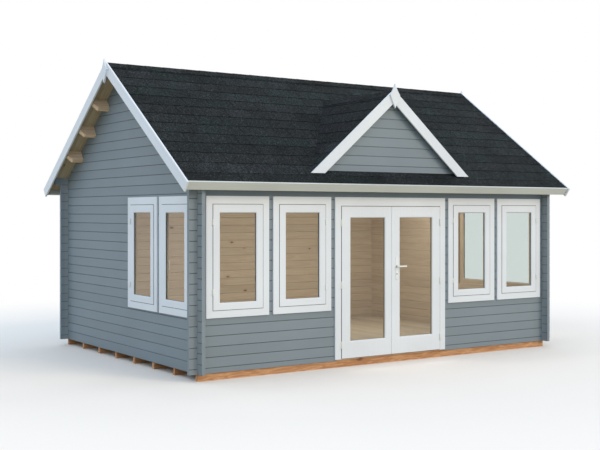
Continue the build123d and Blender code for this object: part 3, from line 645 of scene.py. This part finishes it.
NODE_FINISHES = {
    long_logs: ("front_wall_left", "front_wall_right", "front_wall_piers", "front_wall_top", "rear_wall"),
    side_logs: ("left_wall_lower", "left_wall_piers", "left_gable", "right_wall_lower", "right_wall_piers",
                "right_gable"),
    dormer_logs: ("dormer_gable",),
    white_upright: ("door_jambs", "left_door_leaf", "right_door_leaf", "window_jambs", "window_stiles"),
    white_level: ("door_head", "window_heads", "window_sills", "window_rails"),
    white_edge: ("front_bargeboards", "rear_bargeboards", "finials", "dormer_bargeboard_left",
                 "dormer_bargeboard_right"),
    fascia_greyer_white: ("fascias",),
    purlin_wood: ("purlins", "dormer_boards_left", "dormer_boards_right"),
    bearer_wood: ("floor_bearers",),
    threshold_wood: ("door_threshold",),
    clear_glass: ("window_panes", "left_door_pane", "right_door_pane"),
}
for finish, names in NODE_FINISHES.items():
    for node_name in names:
        for material_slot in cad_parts[node_name].material_slots:
            material_slot.material = finish


# Meshes

def linked(name, data):
    """A new object in the scene."""
    obj = bpy.data.objects.new(name, data)
    bpy.context.scene.collection.objects.link(obj)
    return obj


class Shape:
    """Points and faces gathered for one piece, with a tone for each solid and a drop for each point."""

    def __init__(self):
        self.points = []
        self.faces = []
        self.tones = []
        self.drops = []

    def solid(self, rings, tone=MID_TONE, drops=None):
        """A closed solid skinned over rings of points, with flat ends."""
        first = len(self.points)
        count = len(rings[0])
        for ring in rings:
            self.points += ring
        self.drops += drops or [0.0] * (count * len(rings))
        faces = [tuple(range(first, first + count))]
        last = first + count * (len(rings) - 1)
        faces.append(tuple(range(last, last + count)))
        for level in range(len(rings) - 1):
            base = first + level * count
            for step in range(count):
                turn = (step + 1) % count
                faces.append((base + step, base + turn, base + count + turn, base + count + step))
        self.faces += faces
        self.tones += [tone] * len(faces)

    def piece(self, name, finish, body, replaced=(), smooth=None):
        """The gathered solids as one object that rides on a body."""
        mesh = bpy.data.meshes.new(name)
        mesh.from_pydata(self.points, [], self.faces)
        tones = mesh.attributes.new("tone", "FLOAT", "FACE")
        tones.data.foreach_set("value", self.tones)
        drops = mesh.attributes.new("drop", "FLOAT", "POINT")
        drops.data.foreach_set("value", self.drops)
        work = bmesh.new()
        work.from_mesh(mesh)
        bmesh.ops.recalc_face_normals(work, faces=work.faces)
        work.to_mesh(mesh)
        work.free()
        if smooth:
            mesh.polygons.foreach_set("use_smooth", [True] * len(mesh.polygons))
            mesh.set_sharp_from_angle(angle=smooth)
        mesh.materials.append(finish)
        obj = linked(name, mesh)
        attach(obj, body)
        if replaced:
            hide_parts(*replaced)


def clipped(polygon, a, b, c):
    """The part of a convex (along, run) polygon where a * along + b * run <= c."""
    kept = []
    for index, point in enumerate(polygon):
        previous = polygon[index - 1]
        here = a * point[0] + b * point[1] - c
        before = a * previous[0] + b * previous[1] - c
        if here * before < 0:
            share = before / (before - here)
            kept.append(tuple(p + (q - p) * share for p, q in zip(previous, point)))
        if here <= 0:
            kept.append(point)
    return kept


def roof_place(side):
    """Places of a main slope, by along, run from the ridge and depth; side is -1 in front and 1 behind."""
    def place(along, run, depth):
        y = side * (run * ROOF_COS - depth * ROOF_SIN)
        return Vector((along, y, ridge_height - run * ROOF_SIN - depth * ROOF_COS))
    return place


def dormer_place(side):
    """Places of a dormer slope; side is -1 on the left and 1 on the right."""
    def place(along, run, depth):
        x = side * (run * DORMER_COS - depth * DORMER_SIN)
        return Vector((x, along, dormer_ridge - run * DORMER_SIN - depth * DORMER_COS))
    return place


def shingle_slope(name, node, place, low, high, butts, cut):
    """Courses of three-tab strips on a slope, each tab a thin solid; cut parts a tab into what stays."""
    shape = Shape()
    for course, butt in enumerate(butts):
        head = max(butt - EXPOSURE - SHINGLE_LAP, UNDERLAY[1])
        offset = (course % 2) * TAB_WIDTH / 2 + draw.uniform(0, TAB_STAGGER)
        for tab in range(ceil((high - low) / TAB_WIDTH) + SPARE_TABS):
            if tab % TABS_IN_STRIP == course % TABS_IN_STRIP or tab == 0:
                tone = draw.random()
            start = low - TAB_WIDTH + offset + tab * TAB_WIDTH
            left = max(start + TAB_SLOT / 2, low)
            right = min(start + TAB_WIDTH - TAB_SLOT / 2, high)
            lift = draw.uniform(0, TAB_LIFT)
            ragged = [draw.uniform(-TAB_RAGGED, TAB_RAGGED) for corner in range(2)]
            if right - left < TAB_SLOT:
                continue
            tab_outline = [(left, head), (right, head), (right, butt + ragged[0]), (left, butt + ragged[1])]
            for outline in cut(tab_outline):
                rings = []
                drops = []
                for below in (0.0, SHINGLE_THICKNESS):
                    ring = []
                    for along, run in outline:
                        share = (run - head) / (butt - head)
                        depth = HEAD_DEPTH + (BUTT_DEPTH - lift - HEAD_DEPTH) * share + below
                        ring.append(place(along, run, depth))
                        drops.append(butt - run)
                    rings.append(ring)
                shape.solid(rings, tone, drops)
    for outline in cut([(low, UNDERLAY[1]), (high, UNDERLAY[1]), (high, butts[0]), (low, butts[0])]):
        shape.solid([[place(along, run, depth) for along, run in outline] for depth in UNDERLAY], 0.0)
    shape.piece(name, shingle, "house", (node,))


def whole(outline):
    """No cut: the tab stays as it is."""
    return [outline]


def around_dormer(outline):
    """What is left of a front tab outside the dormer's valleys."""
    top = (ridge_height - dormer_ridge) / ROOF_SIN
    foot = -dormer_face / ROOF_COS
    spread = ROOF_SIN / DORMER_TAN
    reach = max(min((run - top) * spread, (foot - top) * spread) for along, run in outline)
    if max(run for along, run in outline) < top or min(run for along, run in outline) > foot:
        return [outline]
    if all(abs(along) > reach for along, run in outline) and outline[0][0] * outline[1][0] > 0:
        return [outline]
    beside = clipped(clipped(outline, 0, -1, -top), 0, 1, foot)
    parts = [clipped(outline, 0, 1, top), clipped(outline, 0, -1, -foot),
             clipped(beside, 1, spread, top * spread), clipped(beside, -1, spread, top * spread)]
    return [part for part in parts if len(part) >= FEWEST_CORNERS]


def on_dormer(outline):
    """What is left of a dormer tab above the main slope."""
    lean = DORMER_SIN / ROOF_TAN
    end = (dormer_ridge - ridge_height + SHINGLE_LAYER / ROOF_COS) / ROOF_TAN
    part = clipped(outline, 1, lean, end)
    return [part] if len(part) >= FEWEST_CORNERS else []


def butt_lines(last, first_exposure):
    """Runs of the butt edges from the eave up to the ridge."""
    butts = [last]
    line = last - first_exposure
    while line > 0:
        butts.append(line)
        line -= EXPOSURE
    return butts


roof_butts = butt_lines(eave_run, EAVE_EXPOSURE)
shingle_slope("shingles_front", "roof_shingles_front", roof_place(-1), -roof_half_length, roof_half_length,
              roof_butts, around_dormer)
shingle_slope("shingles_rear", "roof_shingles_rear", roof_place(1), -roof_half_length, roof_half_length,
              roof_butts, whole)
dormer_run = (dormer_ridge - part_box("dormer_shingles_left")[0].z) / DORMER_SIN
dormer_end = (dormer_ridge - ridge_height) / ROOF_TAN + SHINGLE_LAYER
for side, node_name in ((-1, "dormer_shingles_left"), (1, "dormer_shingles_right")):
    shingle_slope(node_name.replace("dormer_shingles", "shingles_dormer"), node_name, dormer_place(side),
                  dormer_front, dormer_end, butt_lines(dormer_run, EXPOSURE), on_dormer)


def cap_pieces(shape, places, low, high, end_of):
    """Folded cap shingles along a ridge, each lapping over the next; end_of limits a run's far end."""
    start = low
    while start < high - CAP_LAP:
        stop = min(start + CAP_EXPOSURE + CAP_LAP, high)
        tone = draw.random()
        rings = []
        for along, settle in ((start, 0.0), (stop, CAP_SETTLE)):
            ring = []
            for below, order in ((0.0, 1), (CAP_THICKNESS, -1)):
                line = []
                for place, run in ((places[0], CAP_REACH), (places[0], CAP_FOLD), (places[1], CAP_FOLD),
                                   (places[1], CAP_REACH)):
                    depth = settle + below - CAP_RISE
                    line.append(place(min(along, end_of(run)), run, depth))
                ring += line[::order]
            rings.append(ring)
        shape.solid(rings, tone)
        start += CAP_EXPOSURE


caps = Shape()
cap_pieces(caps, (roof_place(-1), roof_place(1)), -roof_half_length, roof_half_length,
           lambda run: roof_half_length)
cap_pieces(caps, (dormer_place(-1), dormer_place(1)), dormer_front, dormer_end,
           lambda run: dormer_end - run * DORMER_SIN / ROOF_TAN)
caps.piece("ridge_cap_shingles", shingle, "house", ("ridge_caps",))


def board_sections(low, high, board_width, back, face, chamfer):
    """Sections of boards that lie side by side, chamfered along one face."""
    count = round((high - low) / board_width)
    width = (high - low) / count
    for board in range(count):
        left = low + board * width + BOARD_GAP / 2
        right = left + width - BOARD_GAP
        yield [(left, back), (right, back), (right, face - chamfer), (right - chamfer, face),
               (left + chamfer, face), (left, face - chamfer)]


def deck_slope(name, node, side):
    """Deck boards from ridge to eave, with chamfered edges towards the room."""
    place = roof_place(side)
    shape = Shape()
    foot = SHINGLE_LAYER + DECK_THICKNESS
    for section in board_sections(-roof_half_length, roof_half_length, DECK_BOARD, SHINGLE_LAYER, foot,
                                  BOARD_CHAMFER):
        ridge_end = [place(along, depth * ROOF_TAN, depth) for along, depth in section]
        eave_end = [place(along, eave_run, depth) for along, depth in section]
        shape.solid([ridge_end, eave_end], draw.random())
    shape.piece(name, deck_wood, "house", (node,))


deck_slope("deck_boards_front", "roof_boards_front", -1)
deck_slope("deck_boards_rear", "roof_boards_rear", 1)


def floor_boards():
    """Floor boards across the house, with chamfered upper edges."""
    low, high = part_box("floor")
    shape = Shape()
    for section in board_sections(low.x, high.x, FLOOR_BOARD, low.z, high.z, BOARD_CHAMFER / 2):
        ends = [[Vector((x, y, z)) for x, z in section] for y in (low.y, high.y)]
        shape.solid(ends, draw.random())
    shape.piece("floor_boards", floor_wood, "house", ("floor",))


floor_boards()


# Seals

def solid_boxes(node):
    """The lowest and highest corners of each separate solid of a node."""
    work = bmesh.new()
    work.from_mesh(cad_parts[node].data)
    bmesh.ops.remove_doubles(work, verts=work.verts, dist=WELD)
    boxes = []
    waiting = set(work.verts)
    while waiting:
        grown = [waiting.pop()]
        for vert in grown:
            near = {edge.other_vert(vert) for edge in vert.link_edges} & waiting
            waiting -= near
            grown += near
        corners = list(zip(*(vert.co for vert in grown)))
        boxes.append((Vector(map(min, corners)), Vector(map(max, corners))))
    work.free()
    return sorted(boxes, key=lambda box: tuple(box[0]))


def wall_of(low, high):
    """The wall of a fitting: its places by along, out and height, and the fitting's ends along it."""
    side = -1 if low.x < 0 else 1
    if abs(low.x + high.x) / 2 > half_length - 2 * WALL_THICKNESS:
        return (lambda along, out, z: Vector((side * (half_length + out), along, z))), (low.y, high.y)
    return (lambda along, out, z: Vector((along, -half_width - out, z))), (low.x, high.x)


def reach_out(low, high):
    """How far a fitting stands out of its wall's outer face."""
    return max(-half_width - low.y, -half_length - low.x, high.x - half_length)


def edge_strip(shape, section, corners, place):
    """A mitred strip along corners given by along and height with their outward signs."""
    rings = []
    for along, z, along_sign, z_sign in corners:
        rings.append([place(along + along_sign * away, out, z + z_sign * away) for away, out in section])
    for start, end in zip(rings, rings[1:]):
        shape.solid([start, end])


def loop_corners(left, right, foot, head):
    """Corners of a closed round, by along and height with their outward signs."""
    return [(left, foot, -1, -1), (right, foot, 1, -1), (right, head, 1, 1), (left, head, -1, 1),
            (left, foot, -1, -1)]


window_panes = solid_boxes("window_panes")
sash_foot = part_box("window_stiles")[0].z
sash_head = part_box("window_stiles")[1].z
leaf_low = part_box("left_door_leaf")[0]
leaf_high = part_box("right_door_leaf")[1]


def sash_seals():
    """Dark rubber seals around each sash, in its gap and just over the frame; they also stand in for the
    shade in the gap, as painted shade.
    """
    shape = Shape()
    for low, high in window_panes:
        place, ends = wall_of(low, high)
        middle = sum(ends) / 2
        corners = loop_corners(middle - SASH_HALF, middle + SASH_HALF, sash_foot, sash_head)
        edge_strip(shape, SASH_SEAL, corners, place)
    shape.piece("sash_seals", seal, "house")


def door_seals():
    """Grey seals on the door frame, and along the hinge edge of each leaf."""
    place = wall_of(leaf_low, leaf_high)[0]
    frame_shape = Shape()
    corners = [(leaf_low.x, leaf_low.z, -1, 0), (leaf_low.x, leaf_high.z, -1, 1),
               (leaf_high.x, leaf_high.z, 1, 1), (leaf_high.x, leaf_low.z, 1, 0)]
    edge_strip(frame_shape, DOOR_SEAL, corners, place)
    frame_shape.piece("door_frame_seal", grey_seal, "house")
    for body, edge, sign in (("left_leaf", leaf_low.x, -1), ("right_leaf", leaf_high.x, 1)):
        shape = Shape()
        corners = [(edge, leaf_low.z + LEAF_SEAL_END, sign, 0), (edge, leaf_high.z - LEAF_SEAL_END, sign, 0)]
        edge_strip(shape, LEAF_SEAL, corners, place)
        shape.piece(body + "_seal", grey_seal, body)


def glass_seals():
    """Seals around the panes, on the edges of their openings."""
    groups = [("window_glass_seals", seal, "house", window_panes)]
    for side in ("left", "right"):
        groups.append((side + "_glass_seal", brown_seal, side + "_leaf", [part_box(side + "_door_pane")]))
    for name, finish, body, panes in groups:
        shape = Shape()
        for low, high in panes:
            place, ends = wall_of(low, high)
            face = reach_out(low, high)
            section = [(away, face + out) for away, out in PANE_SEAL]
            corners = loop_corners(ends[0] + PANE_SEAT, ends[1] - PANE_SEAT, low.z + PANE_SEAT,
                                   high.z - PANE_SEAT)
            edge_strip(shape, section, corners, place)
        shape.piece(name, finish, body)


def meeting_bead():
    """A white bead on the right leaf that narrows the gap between the leaves."""
    low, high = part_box("right_door_leaf")
    place = wall_of(low, high)[0]
    shape = Shape()
    corners = [(low.x, low.z + MEETING_BEAD_END, -1, 0), (low.x, high.z - MEETING_BEAD_END, -1, 0)]
    edge_strip(shape, MEETING_BEAD, corners, place)
    shape.piece("meeting_bead", white_upright, "right_leaf")


sash_seals()
door_seals()
glass_seals()
meeting_bead()


# Fittings

UP = Vector((0, 0, 1))


def turned(shape, middle, axis, profile, tone=MID_TONE):
    """A turned form around an axis; profile lists the reach along it and the radius there."""
    first = axis.orthogonal().normalized()
    second = axis.cross(first)
    rings = []
    for reach, radius in profile:
        ring = []
        for step in range(TURNED_SIDES):
            turn = 2 * pi * step / TURNED_SIDES
            ring.append(middle + axis * reach + (first * cos(turn) + second * sin(turn)) * radius)
        rings.append(ring)
    shape.solid(rings, tone)


def bent_bar(shape, start, corner, end, side, half_wide, half_thick):
    """A rounded bar from a start, round a corner and on to a domed end; side is square to its path."""
    inward = (corner - start).normalized()
    onward = (end - corner).normalized()
    centre = corner - inward * BAR_BEND + onward * BAR_BEND
    path = [(start, 1.0)]
    for step in range(BAR_BEND_STEPS + 1):
        turn = pi / 2 * step / BAR_BEND_STEPS
        path.append((centre + inward * (BAR_BEND * sin(turn)) - onward * (BAR_BEND * cos(turn)), 1.0))
    for share, size in BAR_TIP_SHARES:
        path.append((end - onward * (half_wide * (1 - share)), size))
    rings = []
    for index, (point, size) in enumerate(path):
        after = path[min(index + 1, len(path) - 1)][0]
        before = path[max(index - 1, 0)][0]
        across = (after - before).normalized().cross(side)
        ring = []
        for step in range(BAR_SIDES):
            turn = 2 * pi * step / BAR_SIDES
            ring.append(point + (side * (half_wide * cos(turn)) + across * (half_thick * sin(turn))) * size)
        rings.append(ring)
    shape.solid(rings)


def hinge_set(name, node, radius, centres):
    """Barrels in two knuckles with domed ends, each on a plate that slopes down to the frame."""
    shape = Shape()
    for low, high in solid_boxes(node):
        place, ends = wall_of(low, high)
        centre = min(centres, key=lambda spot: abs(spot - sum(ends) / 2))
        inner, outer = sorted(ends, key=lambda end: abs(end - centre))
        away = 1 if outer > inner else -1
        axis = inner + away * radius
        axis_out = reach_out(low, high) - radius * BARREL_SEAT_SHARE
        height = high.z - low.z
        profile = [(height * rise, radius * share) for rise, share in BARREL_SHARES]
        turned(shape, place(axis, axis_out, low.z), UP, profile)
        rings = []
        for level, thickness in HINGE_END_SHARES:
            ring = []
            for reach, rise in HINGE_PLATE_SHARES:
                thinned = rise if rise >= PLATE_HIGH_SHARE else rise * thickness
                out = FRAME_FACE + (axis_out - FRAME_FACE) * thinned
                ring.append(place(axis + (outer - axis) * reach, out, low.z + height * level))
            rings.append(ring)
        shape.solid(rings)
    shape.piece(name, cream_enamel, "house", (node,), SHARP_EDGE)


def lever_pair():
    """Rounded levers on both faces of the right leaf."""
    shape = Shape()
    low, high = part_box("door_lever")
    x, z = LEVER_SPINDLE
    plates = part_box("lock_plates")
    bars = ((low.y + LEVER_HALF_THICKNESS, plates[0].y), (high.y - LEVER_HALF_THICKNESS, plates[1].y))
    for outer, plate in bars:
        bent_bar(shape, Vector((x, plate, z)), Vector((x, outer, z)), Vector((high.x, outer, z)), UP,
                 LEVER_HALF_HEIGHT, LEVER_HALF_THICKNESS)
    shape.piece("lever_bars", cream_enamel, "lever", ("door_lever",), BAR_SHARP_EDGE)


def lock_width(share):
    """Half the width of a lock plate at a share of its height, as a share of its largest."""
    for (low, low_width), (high, high_width) in zip(LOCK_SHARES, LOCK_SHARES[1:]):
        if share <= high:
            blend = (share - low) / (high - low)
            blend = blend * blend * (3 - 2 * blend)
            return low_width + (high_width - low_width) * blend
    return LOCK_SHARES[-1][1]


def lock_set():
    """Shaped and bevelled lock plates with their screws, and the rose and key cylinder on each."""
    shape = Shape()
    metal = Shape()
    low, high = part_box("lock_plates")
    middle = (low.x + high.x) / 2
    half = (high.x - low.x) / 2
    height = high.z - low.z
    shares = [step / LOCK_STEPS for step in range(LOCK_STEPS + 1)]
    for face, sign in ((leaf_low.y, -1), (leaf_high.y, 1)):
        rings = []
        for out, inset in LOCK_BEVEL:
            ring = []
            for side, order in ((1, 1), (-1, -1)):
                for share in shares[::order]:
                    wide = max(half * lock_width(share) - inset, half * LOCK_SHARES[0][1] / 2)
                    z = low.z + inset + (height - 2 * inset) * share
                    ring.append(Vector((middle + side * wide, face + sign * out, z)))
            rings.append(ring)
        shape.solid(rings)
        axis = Vector((0, sign, 0))
        for share in LOCK_SCREW_SHARES:
            radius, rise = LOCK_SCREW
            seat = Vector((middle, face + sign * LOCK_BEVEL[-2][0], low.z + height * share))
            turned(shape, seat, axis, [(rise * up, radius * wide) for up, wide in LOCK_DOME_SHARES])
        turned(metal, Vector((LEVER_SPINDLE[0], face, LEVER_SPINDLE[1])), axis, ROSE_PROFILE, 1.0)
        seat = Vector((middle, face, low.z + height * CYLINDER_SHARE))
        turned(metal, seat, axis, CYLINDER_PROFILE, 1.0)
        # A near-black solid that stands in for the shade inside the keyway, as painted shade
        half_slot, slot_reach, slot_out = KEYWAY
        slot = [(-half_slot, -slot_reach), (half_slot, -slot_reach), (half_slot, slot_reach),
                (-half_slot, slot_reach)]
        metal.solid([[seat + Vector((dx, sign * out, dz)) for dx, dz in slot]
                     for out in (CYLINDER_PROFILE[0][0], slot_out)], 0.0)
    shape.piece("lock_plate_pair", cream_enamel, "right_leaf", ("lock_plates",), SHARP_EDGE)
    metal.piece("lock_roses", steel, "right_leaf", (), SHARP_EDGE)


def rounded_outline(half_wide, half_high, corner):
    """A rectangle with rounded corners, as offsets from its middle."""
    points = []
    for quarter, (right, up) in enumerate(((1, 1), (-1, 1), (-1, -1), (1, -1))):
        for step in range(BAR_BEND_STEPS + 1):
            turn = pi / 2 * (quarter + step / BAR_BEND_STEPS)
            points.append((right * (half_wide - corner) + corner * cos(turn),
                           up * (half_high - corner) + corner * sin(turn)))
    return points


def window_handles():
    """Inside handles: a rounded base with a grip that hangs down from it."""
    shape = Shape()
    half_wide, half_high = HANDLE_BASE
    for low, high in solid_boxes("window_handles"):
        place, ends = wall_of(low, high)
        along = sum(ends) / 2
        z = high.z - half_high
        rings = []
        for rise, inset in HANDLE_BASE_BEVEL:
            outline = rounded_outline(half_wide - inset, half_high - inset, HANDLE_CORNER - inset)
            rings.append([place(along + right, SASH_BACK - rise, z + up) for right, up in outline])
        shape.solid(rings)
        grip = SASH_BACK - HANDLE_STAND + HANDLE_HALF_THICKNESS
        start = place(along, SASH_BACK - HANDLE_BASE_BEVEL[1][0], z)
        corner = place(along, grip, z)
        end = place(along, grip, z + HANDLE_RISE - HANDLE_LENGTH)
        side = (place(along + 1, 0, 0) - place(along, 0, 0)).normalized()
        bent_bar(shape, start, corner, end, side, HANDLE_HALF_WIDTH, HANDLE_HALF_THICKNESS)
    shape.piece("window_grips", enamel, "house", ("window_handles",), BAR_SHARP_EDGE)


hinge_set("door_hinge_barrels", "door_hinges", DOOR_BARREL_RADIUS, (0.0,))
hinge_set("window_hinge_barrels", "window_hinges", WINDOW_BARREL_RADIUS,
          [sum(wall_of(low, high)[1]) / 2 for low, high in window_panes])
lever_pair()
lock_set()
window_handles()


# Stage

def stage_floor():
    """A pale floor that keeps the shadow and runs out into white."""
    mesh = bpy.data.meshes.new("stage_floor")
    signs = ((-1, -1), (1, -1), (1, 1), (-1, 1))
    corners = [(FLOOR_REACH * right, FLOOR_REACH * back, 0) for right, back in signs]
    mesh.from_pydata(corners, [], [range(len(corners))])
    obj = linked("stage_floor", mesh)
    n = new_material("stage_floor")
    n.tree.nodes.remove(n.shader)
    seen = n.shown()
    matte = n.node("BsdfDiffuse", {"Color": n.mix(seen, FLOOR_BOUNCE, FLOOR_PALE_SEEN)}).outputs[0]
    white = n.node("Emission", {"Strength": 1.0}).outputs[0]
    away = n.node("VectorMath", {0: n.place()}, operation="LENGTH").outputs["Value"]
    fade = n.times(seen, n.fit(away, FADE_START, FADE_END, 0, 1))
    mesh.materials.append(n.blend("Material Output", fade, matte, white))


def studio_world():
    """White behind the house, and an even cool light from all around it."""
    n = Nodes(bpy.data.worlds.new("studio"))
    plain = n.tree.nodes["Background"]
    n.put(plain.inputs["Color"], SKY_LIGHT)
    white = n.node("Background", {"Color": WHITE_LIGHT}).outputs[0]
    bpy.context.scene.world = n.blend("World Output", n.shown(), plain.outputs[0], white)


def add_lamp(name, kind, energy, colour, place, turn):
    """A lamp in the scene."""
    lamp = bpy.data.lights.new(name, kind)
    lamp.energy = energy
    lamp.color = colour
    obj = linked(name, lamp)
    obj.location = place
    obj.rotation_euler = turn
    return lamp


def lights():
    """A broad warm light from the front right, and a soft one under the roof."""
    sun = add_lamp("key_light", "SUN", SUN_STRENGTH, SUN_COLOUR, (0, 0, 0), SUN_TURN)
    sun.angle = SUN_ANGLE
    room = add_lamp("room_light", "AREA", ROOM_LIGHT_POWER, WHITE_LIGHT,
                    (ROOM_LIGHT_SHIFT, 0, ROOM_LIGHT_HEIGHT), (0, 0, 0))
    room.shape = "RECTANGLE"
    room.size, room.size_y = ROOM_LIGHT_SIZE


def camera():
    """The camera of the photo: level, with the frame shifted."""
    data = bpy.data.cameras.new("camera")
    data.lens = CAMERA_LENS
    data.sensor_width = CAMERA_SENSOR
    data.shift_x, data.shift_y = CAMERA_SHIFT
    obj = linked("camera", data)
    obj.location = CAMERA_PLACE
    obj.rotation_euler = (pi / 2, 0, CAMERA_TURN)
    bpy.context.scene.camera = obj


stage_floor()
studio_world()
lights()
camera()
bpy.context.scene.view_settings.view_transform = "Standard"
